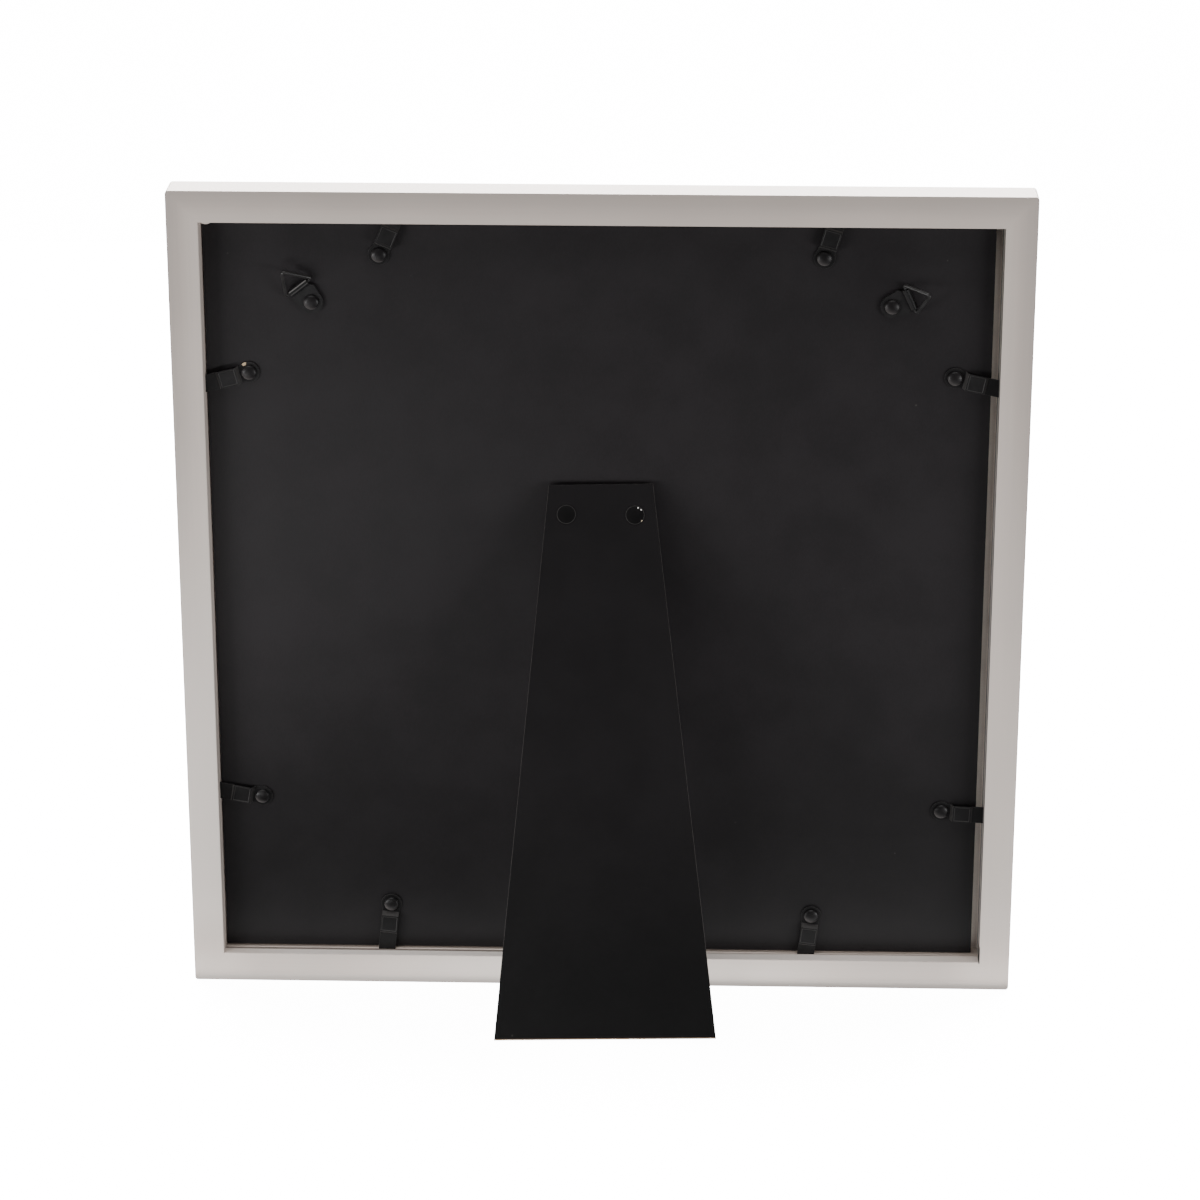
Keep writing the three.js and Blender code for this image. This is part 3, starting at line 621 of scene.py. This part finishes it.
def black_steel(
    name, roughness, chips=(), edge_wear_and_highlight_from=None, black=ENAMEL, gloss=0.36, lines=(), pale=None
):
    """Enamel on pressed steel with fine handling marks. A chip is a place in metres, a radius and a colour.

    Where the edge wear and highlight direction is given, edges that turn away from it are painted paler:
    worn enamel with a painted highlight on it.
    Lines are painted highlights and painted shades across a fold: each is the direction across it, its
    place along that direction, half its width and its colour.
    Surfaces that look towards pale, where it is given, are painted a paler black, a painted sheen."""
    material, place = finish_of(name)
    cloud = place.noise(260.0, 3.0)
    peel = place.noise(2600.0, 2.0)
    scuff = place.noise(1.0, 4.0, (5000.0, 5000.0, 700.0))
    lighter = tuple(1.7 * part for part in black)
    color = (cloud + 0.5).fade(0.3, 0.8).blend((*black, 1), (*lighter, 1))
    # Painted shade: the enamel is painted darker towards the bottom of the frame.
    color = (place.along((0.0, 0.0, 1.0)).fade(-0.02, -0.13) * 0.6).blend(color, BLACK)
    if pale:
        color = facing(place, pale).fade(0.0, 0.75).blend(color, PAINTED_SHEEN)
    if edge_wear_and_highlight_from:
        turned_away = facing(place, edge_wear_and_highlight_from)
        color = (turned_away.fade(0.97, 0.86) * turned_away.fade(0.2, 0.4)).blend(color, EDGE_WEAR_AND_HIGHLIGHT)
    for direction, distance, reach, fold_highlight_and_shade in lines:
        color = place.line(direction, distance, reach).blend(color, fold_highlight_and_shade)
    for spot, radius, bare in chips:
        color = place.spot(leaned.inverted() @ (spot - rear_middle), radius).blend(color, bare)
    feed(
        material,
        Base_Color=color,
        Roughness=roughness + cloud * 0.16 + scuff * 0.14,
        Normal=place.bump(peel * 0.000012 + scuff * 0.000004),
        Specular_IOR_Level=gloss,
    )
    return material


chipped = Vector(joints["clip_upper_left_turn"]["pos_m"]) + leaned.to_3x3() @ Vector(CLIP_CHIP)
clip_chips = [(chipped, CLIP_CHIP_RADIUS, CLIP_CHIP_COLOR)]
# The clips' edges are painted paler: worn enamel with a painted highlight on it.
clip_enamel = black_steel("clip_enamel", 0.5, clip_chips, edge_wear_and_highlight_from=out, gloss=0.27)
half_width = CLIP_WIDTH / 2
pad = CLIP_PAD / 2
shoulder = math.degrees(math.acos(half_width / pad))
tip_x = half_width - CLIP_TIP_ROUND
tip_z = CLIP_REACH - CLIP_TIP_ROUND
outline = arc((tip_x, tip_z), CLIP_TIP_ROUND, 0, 90, 4)
outline += arc((-tip_x, tip_z), CLIP_TIP_ROUND, 90, 180, 4)
outline += arc((0, 0), pad, 180 - shoulder, 360 + shoulder, 28)
chain(outline)
bpy.ops.mesh.edge_face_add()
folds = [
    CLIP_SQUARE_START - CLIP_RISE,
    CLIP_SQUARE_START,
    CLIP_SQUARE_END,
    CLIP_SQUARE_END + CLIP_FALL,
]
for fold in folds:
    bpy.ops.mesh.select_all(action="SELECT")
    bpy.ops.mesh.bisect(plane_co=(0, 0, fold), plane_no=(0, 0, 1))
levels = [
    (lambda z: z < folds[0] + 0.01, CLIP_LOW),
    (lambda z: folds[1] - 0.01 < z < folds[2] + 0.01, CLIP_HIGH),
    (lambda z: z > folds[3] - 0.01, CLIP_TONGUE),
]
for test, height in levels:
    choose("VERT", lambda vert: test(vert.co.z))
    bpy.ops.transform.translate(value=(0, height, 0))
choose("FACE", lambda face: folds[1] < face.calc_center_median().z < folds[2])
bpy.ops.mesh.inset(thickness=CLIP_RIM)
bpy.ops.mesh.inset(thickness=CLIP_DISH_WALL)
bpy.ops.transform.translate(value=(0, -CLIP_DISH, 0))
tidy()
clip = done()
modified(clip, "SOLIDIFY", thickness=CLIP_THICKNESS, offset=0, use_even_offset=True)
sharp = {"segments": 2, "limit_method": "ANGLE", "angle_limit": math.radians(30)}
modified(clip, "BEVEL", width=CLIP_EDGE_ROUND, **sharp)
bpy.ops.object.shade_smooth_by_angle(angle=math.radians(50))
modified(clip, "WEIGHTED_NORMAL", keep_sharp=True)

clip_places = {}
for name, turn in clip_turns.items():
    rivet_place = at(joints["clip_" + name + "_turn"]["pos_m"])
    clip_places[name] = rivet_place
    place = rivet_place @ Matrix.Rotation(math.radians(turn), 4, "Y")
    body = "clip_" + name
    settle(another(clip), body + "_steel", place, clip_enamel, body, "black_steel", body)
bpy.data.objects.remove(clip)

# Clip and hanger rivets. Tubular steel with a low domed head, clenched behind the board. The clips and
# the straps turn on them. Their enamel is painted paler where the dome faces the lower left, a painted
# sheen.
DOME = 5.8
DOME_HEIGHT = 1.5
DOME_SKIRT = 0.3
DOME_EDGE = 0.12
SHANK = 2.4
TAIL = 4.2
TAIL_SUNK = 0.15
TAIL_THICKNESS = 0.35
BOARD = 2
CLIP_RIVET_SEAT = 0.9  # under the head, above the board
HANGER_RIVET_SEAT = 1.5
DOME_ENAMEL = (0.009, 0.0078, 0.0084)


def turned(profile, steps=32):
    """Turns a line of radius and height points round the Y axis into a closed body."""
    chain([(radius, height, 0) for radius, height in profile])
    bpy.ops.mesh.spin(steps=steps, angle=2 * math.pi, center=(0, 0, 0), axis=(0, 1, 0))
    tidy()


def domed_rivet(under_head):
    """A rivet whose head sits at the given height above the board."""
    radius = DOME / 2
    tail = TAIL_SUNK - BOARD
    board_side = tail + TAIL_THICKNESS
    profile = [(0, tail), (TAIL / 2, tail), (TAIL / 2, board_side), (SHANK / 2, board_side)]
    profile += [(SHANK / 2, under_head), (radius - DOME_EDGE, under_head), (radius, under_head + DOME_EDGE)]
    for i in range(9):
        angle = i / 9 * math.pi / 2
        rise = DOME_SKIRT + (DOME_HEIGHT - DOME_SKIRT) * math.sin(angle)
        profile.append((radius * math.cos(angle), under_head + rise))
    profile.append((0, under_head + DOME_HEIGHT))
    turned(profile)
    return done()


lower_left = leaned.to_3x3() @ Vector((0.5, 0, -0.87))
dome_enamel = black_steel("dome_enamel", 0.42, black=DOME_ENAMEL, gloss=0.3, pale=lower_left)
rivet = domed_rivet(CLIP_RIVET_SEAT)
for name, place in clip_places.items():
    node = "clip_rivet_" + name
    settle(another(rivet), node + "_head", place, dome_enamel, "frame", "black_steel", node)
bpy.data.objects.remove(rivet)

# Hangers. A steel strap is folded round a triangular ring of wire and riveted through both layers,
# so the ring flips up and down and the strap swivels.
STRAP_LAYER = 0.58
STRAP_LOW = 0.45  # the lower layer's middle above the board
STRAP_HIGH = 1.06
STRAP_PAD = 9
STRAP_SHOULDER = 10.2
STRAP_SHOULDER_END = 4.6  # from the rivet
STRAP_EYE = 8.3
STRAP_EYE_START = 5.6
STRAP_LENGTH = 7.5
STRAP_EDGE_ROUND = 0.1
EYE_RADIUS = 1.2  # to the middle of the layer round the ring's bar
EYE_HEIGHT = 1.65
WIRE = 1.5
RING_WIDTH = 12.3
RING_HEIGHT = 10.4
RING_BEND = 1.5
BUTT_GAP = 0.4  # the wire's two ends meet inside the strap
RING_ENAMEL = (0.02, 0.0187, 0.0187)
# Painted highlights and painted shade across the strap's fold round the ring's bar.
FOLD_HIGHLIGHTS_AND_SHADES = {
    # from the rivet, half the width, colour
    "left": [
        (8.2, 0.27, (0.2, 0.19, 0.185, 1)),
        (7.6, 0.4, (0.001, 0.001, 0.001, 1)),
        (6.95, 0.26, (0.08, 0.076, 0.074, 1)),
    ],
    "right": [
        (7.7, 0.3, (0.002, 0.002, 0.002, 1)),
        (6.3, 0.22, (0.05, 0.047, 0.046, 1)),
    ],
}
hanger_turns = {"left": (38, 27), "right": (-64.5, 40)}  # the strap's turn and the ring's lift, degrees


def strap_width(z):
    """Half the strap's width at a distance from its rivet."""
    if z < 0:
        return max(math.sqrt(max((STRAP_PAD / 2) ** 2 - z * z, 0)), 0.5)
    if z < STRAP_SHOULDER_END:
        return STRAP_PAD / 2 + (STRAP_SHOULDER - STRAP_PAD) / 2 * z / STRAP_SHOULDER_END
    if z < STRAP_EYE_START:
        narrowed = (z - STRAP_SHOULDER_END) / (STRAP_EYE_START - STRAP_SHOULDER_END)
        return STRAP_SHOULDER / 2 - (STRAP_SHOULDER - STRAP_EYE) / 2 * narrowed
    return STRAP_EYE / 2


pad_end = [-STRAP_PAD / 2 * math.cos(i / 8 * math.pi / 2) for i in range(9)]
flat = pad_end + [1.5, 3, STRAP_SHOULDER_END, STRAP_EYE_START]
lower = [(z, STRAP_LOW) for z in flat + [6.5]]
upper = [(z, STRAP_HIGH) for z in reversed(flat + [6.05])]
loop = []
for i in range(16):
    angle = math.radians(-90 + i * 18.5)
    loop.append((STRAP_LENGTH + EYE_RADIUS * math.cos(angle), EYE_HEIGHT + EYE_RADIUS * math.sin(angle)))
path = lower + loop + upper
columns = [-1, -0.96, -0.6, -0.2, 0.2, 0.6, 0.96, 1]  # shares of the strap's half width
start(bpy.ops.mesh.primitive_grid_add, x_subdivisions=len(columns) - 1, y_subdivisions=len(path) - 1)
sheet = bmesh.from_edit_mesh(bpy.context.object.data)
sheet.verts.ensure_lookup_table()
ordered = sorted(sheet.verts, key=lambda vert: (round(vert.co.y, 4), round(vert.co.x, 4)))
for index, vert in enumerate(ordered):
    row, column = divmod(index, len(columns))
    z, y = path[row]
    vert.co = (columns[column] * strap_width(z), y, z)
bmesh.update_edit_mesh(bpy.context.object.data)
strap = done(60)
modified(strap, "SOLIDIFY", thickness=STRAP_LAYER, offset=0, use_even_offset=True)
sharp = {"segments": 2, "limit_method": "ANGLE", "angle_limit": math.radians(40)}
modified(strap, "BEVEL", width=STRAP_EDGE_ROUND, **sharp)
bpy.ops.object.mode_set(mode="EDIT")
tidy()
strap = done(50)
modified(strap, "WEIGHTED_NORMAL", keep_sharp=True)

bar_end = Vector((RING_WIDTH / 2, 0, 0))
corners = [bar_end, Vector((0, 0, RING_HEIGHT)), -bar_end]
stops = [Vector((BUTT_GAP / 2, 0, 0))] + corners + [Vector((-BUTT_GAP / 2, 0, 0))]
line = [stops[0]]
for before, corner, after in zip(stops, stops[1:], stops[2:]):
    back = corner + (before - corner).normalized() * RING_BEND
    ahead = corner + (after - corner).normalized() * RING_BEND
    for i in range(9):
        t = i / 8
        line.append(back * (1 - t) ** 2 + corner * 2 * t * (1 - t) + ahead * t * t)
line.append(stops[-1])
bpy.ops.object.select_all(action="DESELECT")
curve = bpy.data.curves.new("ring", "CURVE")
curve.dimensions = "3D"
curve.bevel_depth = WIRE / 2
curve.bevel_resolution = 5
curve.use_fill_caps = True
spline = curve.splines.new("POLY")
spline.points.add(len(line) - 1)
for point, place in zip(spline.points, line):
    point.co = (*place, 1)
ring = bpy.data.objects.new("ring", curve)
bpy.context.collection.objects.link(ring)
ring.select_set(True)
bpy.context.view_layer.objects.active = ring
bpy.ops.object.convert(target="MESH")
ring = bpy.context.object
bpy.ops.object.mode_set(mode="EDIT")
tidy()
ring = done(60)

ring_enamel = black_steel("ring_enamel", 0.4, black=RING_ENAMEL, gloss=0.5)
rivet = domed_rivet(HANGER_RIVET_SEAT)
for side, (turn, lift) in hanger_turns.items():
    pivot = joints["strap_" + side + "_turn"]["pos_m"]
    swivel = Matrix.Rotation(math.radians(turn), 4, "Y")
    along_strap = swivel.col[2].to_3d()
    rivet_along = (leaned.inverted() @ (Vector(pivot) - rear_middle)).dot(along_strap)
    # The fold's painted highlights and painted shade, placed along the strap.
    fold_highlight_and_shade = [
        (along_strap, rivet_along + from_rivet * METRES, reach * METRES, tone)
        for from_rivet, reach, tone in FOLD_HIGHLIGHTS_AND_SHADES[side]
    ]
    strap_enamel = black_steel("strap_enamel_" + side, 0.5, lines=fold_highlight_and_shade)
    node = "hanger_strap_" + side
    strap_place = at(pivot) @ swivel
    settle(another(strap), node + "_steel", strap_place, strap_enamel, "strap_" + side, "black_steel", node)
    node = "hanger_ring_" + side
    lifted = swivel @ Matrix.Rotation(-math.radians(lift), 4, "X")
    ring_place = at(joints["ring_" + side + "_lift"]["pos_m"]) @ lifted
    settle(another(ring), node + "_wire", ring_place, ring_enamel, "ring_" + side, "black_steel", node)
    node = "hanger_rivet_" + side
    settle(another(rivet), node + "_head", at(pivot), dome_enamel, "frame", "black_steel", node)
for model in (strap, ring, rivet):
    bpy.data.objects.remove(model)

# Leg hinge. Two leaves of thin steel rolled round one pin, one riveted to the board and one to the leg.
# All of it is enamelled black before the pin goes in.
enamel = black_steel("black_enamel", 0.5)
for name in ["hinge_board_leaf", "hinge_pin", "hinge_rivet_left", "hinge_rivet_right", "hinge_leg_leaf"]:
    dress(frame["nodes"][name], enamel)

# Easel leg. Board faced with black paper on both sides, wider at its foot, where its cut edge is bare and
# rubbed. Its long sides and its foot are painted paler, bare board with painted light on it, and its paper
# is painted darker towards the foot, a painted shade. It is riveted to its hinge leaf a little askew.
LEG_TOP = 5.06  # above the pin
LEG_LENGTH = 214.5
LEG_TOP_WIDTH = 40.5
LEG_FOOT_WIDTH = 85
LEG_FACE = 1.5  # from the pin's axis to the leg
LEG_THICKNESS = 2.5
LEG_OPEN = 27.5
LEG_SKEW = 1.2
LEG_EDGE_ROUND = 0.22
LEG_BLACK = (0.0057, 0.0047, 0.0053, 1)
# The sides and the foot are painted paler: bare board with painted light on it.
LEG_SIDES_BARE_AND_LIT = (0.15, 0.138, 0.13, 1)
LEG_FOOT_BARE_AND_LIT = (0.34, 0.23, 0.15, 1)
LEG_FOOT_RUBBED_AND_LIT = (0.4, 0.29, 0.2, 1)
LEG_FOOT_LINE_REACH = 0.0006  # metres, how far up from the foot's edge

opened = Matrix.Rotation(math.radians(LEG_OPEN), 4, "X")
leg_out = (leaned @ opened).col[1].to_3d()
leg_down = -(leaned @ opened).col[2].to_3d()
leg_place = at(joints["leg_hinge"]["pos_m"]) @ opened
to_foot = -(opened @ Matrix.Rotation(math.radians(LEG_SKEW), 4, "Y")).col[2].to_3d()
pin_in_frame = leaned.inverted() @ (Vector(joints["leg_hinge"]["pos_m"]) - rear_middle)
foot_edge = pin_in_frame.dot(to_foot) + (LEG_LENGTH - LEG_TOP) * METRES
foot = LEG_TOP - LEG_LENGTH
corners = [
    (-LEG_FOOT_WIDTH / 2, LEG_FACE, foot),
    (LEG_FOOT_WIDTH / 2, LEG_FACE, foot),
    (LEG_TOP_WIDTH / 2, LEG_FACE, LEG_TOP),
    (-LEG_TOP_WIDTH / 2, LEG_FACE, LEG_TOP),
]
drawn(corners, (0, LEG_THICKNESS, 0))
choose("EDGE", lambda edge: abs(edge.verts[0].co.y - edge.verts[1].co.y) < 0.01)
bpy.ops.mesh.bevel(offset=LEG_EDGE_ROUND, segments=3, affect="EDGES")
tidy()
leg = done()
modified(leg, "WEIGHTED_NORMAL", keep_sharp=True)
leg.matrix_world = Matrix.Rotation(math.radians(LEG_SKEW), 4, "Y")
leg_paper = black_paper(
    "leg_paper",
    leg_out,
    LEG_BLACK,
    0.5,
    0.2,
    painted_shade_band=(-0.04, -0.14, 0.8),
    edge=LEG_SIDES_BARE_AND_LIT,
    end=(leg_down, LEG_FOOT_BARE_AND_LIT),
    rubbed_and_lit_line=(to_foot, foot_edge, LEG_FOOT_LINE_REACH, LEG_FOOT_RUBBED_AND_LIT),
)
settle(leg, "easel_leg_board", leg_place, leg_paper, "leg", "black_paper_board", "easel_leg")

# Leg rivets. Steel with wide flat heads, driven through the leg and its hinge leaf, and enamelled as
# black as the paper round them. The right one is chipped in three places.
LEG_RIVET_SPACING = 26.7
LEG_RIVET_BELOW_TOP = 12
LEG_RIVET_HEAD = 7.4
LEG_RIVET_HEIGHT = 0.5
LEG_RIVET_RIM = 0.45  # the head's height near its edge
LEG_RIVET_SEAT = 0.05  # between the head and the leg
LEG_RIVET_TAIL = 0.3  # from the pin's axis to the tail
LEG_RIVET_ENAMEL = (0.003, 0.0026, 0.0028)
LEG_CHIP_RADIUS = 0.00032  # metres
LEG_CHIPS = [
    # to the left and up from the rivet's middle, colour
    (-1.2, 2.85, (0.85, 0.83, 0.8, 1)),
    (-2.35, 2.1, (0.85, 0.83, 0.8, 1)),
    (-2.75, -2.3, (0.8, 0.66, 0.48, 1)),
]

head = LEG_RIVET_HEAD / 2
under = LEG_FACE + LEG_THICKNESS + LEG_RIVET_SEAT
tail_side = LEG_RIVET_TAIL + TAIL_THICKNESS
profile = [
    (0, LEG_RIVET_TAIL),
    (TAIL / 2, LEG_RIVET_TAIL),
    (TAIL / 2, tail_side),
    (SHANK / 2, tail_side),
    (SHANK / 2, under),
    (head, under),
    (head, under + 0.2),
    (head - 0.1, under + 0.38),
    (head - 0.35, under + LEG_RIVET_RIM),
    (0, under + LEG_RIVET_HEIGHT),
]
turned(profile, 40)
rivet = done(50)
for name, side in (("left", 1), ("right", -1)):
    rivet_spot = (side * LEG_RIVET_SPACING / 2, 0, LEG_TOP - LEG_RIVET_BELOW_TOP)
    rivet_place = leg_place @ Matrix.Translation(rivet_spot)
    chips = []
    if name == "right":
        for x, z, bare in LEG_CHIPS:
            chips.append((rivet_place @ Vector((x, under + LEG_RIVET_RIM, z)), LEG_CHIP_RADIUS, bare))
    # The heads' rims are painted paler: worn enamel with a painted highlight on it.
    flat_enamel = black_steel("flat_enamel_" + name, 0.6, chips, leg_out, LEG_RIVET_ENAMEL, gloss=0.12)
    node = "leg_rivet_" + name
    settle(another(rivet), node + "_head", rivet_place, flat_enamel, "leg", "black_steel", node)
bpy.data.objects.remove(rivet)

# Studio. A white floor, a wide soft light from above and in front, a weak one from above and behind, and
# low panels where a pale table throws light back. The camera stands behind the frame and looks slightly
# down at it.
FLOOR_SIZE = 12
FLOOR_GLOW = 14.0
SKY_SEEN = 16.0
SKY_LIGHT = 0.08
OVERHEAD = 17.4
OVERHEAD_ANGLE = 60
OVERHEAD_PLACE = (0, -1.15, 2)
BEHIND = 2.0
BEHIND_ANGLE = 50
BEHIND_PLACE = (0.15, 0.84, 1.82)
panels = {
    # place, what it faces, watts, width, depth
    "panel_left": ((0.25, 0.25, 0.03), (0.1, -0.05, 0.03), 0.34, 0.4, 0.05),
    "panel_far_left": ((0.8, 0.5, 0.02), (0, 0, 0.1), 4.4, 0.5, 0.04),
    "panel_far_right": ((-0.8, 0.5, 0.02), (0, 0, 0.1), 4.2, 0.5, 0.04),
    "table_right": ((-0.33, 0.171, 0.001), (-0.33, 0.171, 1), 0.26, 0.54, 0.418),
    "table_edge": ((0, -0.028, 0.001), (0, -0.028, 1), 0.045, 0.5, 0.02),
}
CAMERA_PLACE = (-0.0422, 1.5363, 0.3779)
CAMERA_LOOK = Vector((0.02728, -0.99002, -0.13827))
CAMERA_UP = Vector((0.01045, -0.13803, 0.99037))
LENS = 119.3
SENSOR = 36
FARTHEST = 50

bpy.ops.object.select_all(action="DESELECT")
bpy.ops.mesh.primitive_plane_add(size=FLOOR_SIZE)
floor = bpy.context.object
floor.name = "floor"
floor.visible_diffuse = False
floor.visible_glossy = False
floor.visible_transmission = False
white = bpy.data.materials.new("white_floor")
white.use_nodes = True
feed(
    white,
    Base_Color=(0.9, 0.895, 0.885, 1),
    Roughness=0.9,
    Emission_Color=(1, 1, 1, 1),
    Emission_Strength=FLOOR_GLOW,
)
white.cycles.emission_sampling = "NONE"
floor.data.materials.append(white)


def lamp(name, kind, spot, target, energy, **settings):
    """A light that the camera doesn't see, turned to its target."""
    light = bpy.data.lights.new(name, kind)
    light.energy = energy
    for setting, value in settings.items():
        setattr(light, setting, value)
    stand = bpy.data.objects.new(name, light)
    bpy.context.collection.objects.link(stand)
    stand.location = spot
    stand.rotation_euler = (Vector(target) - Vector(spot)).to_track_quat("-Z", "Y").to_euler()
    stand.visible_camera = False


lamp("overhead", "SUN", OVERHEAD_PLACE, (0, 0, 0), OVERHEAD, angle=math.radians(OVERHEAD_ANGLE))
lamp("behind", "SUN", BEHIND_PLACE, (0, 0, 0), BEHIND, angle=math.radians(BEHIND_ANGLE))
for name, (spot, target, watts, width, depth) in panels.items():
    lamp(name, "AREA", spot, target, watts, shape="RECTANGLE", size=width, size_y=depth)

world = bpy.data.worlds.new("studio")
bpy.context.scene.world = world
world.use_nodes = True
background = world.node_tree.nodes["Background"]
background.inputs["Color"].default_value = (1, 1, 1, 1)
seen = Wire(world.node_tree.nodes.new("ShaderNodeLightPath").outputs["Is Camera Ray"])
strength = seen * (SKY_SEEN - SKY_LIGHT) + SKY_LIGHT
world.node_tree.links.new(strength.socket, background.inputs["Strength"])

camera = bpy.data.cameras.new("camera")
camera.lens = LENS
camera.sensor_width = SENSOR
camera.clip_end = FARTHEST
viewer = bpy.data.objects.new("camera", camera)
bpy.context.collection.objects.link(viewer)
sideways = CAMERA_LOOK.cross(CAMERA_UP).normalized()
upright = sideways.cross(CAMERA_LOOK).normalized()
turned_to = Matrix((sideways, upright, -CAMERA_LOOK.normalized())).transposed().to_4x4()
viewer.matrix_world = Matrix.Translation(CAMERA_PLACE) @ turned_to
bpy.context.scene.camera = viewer
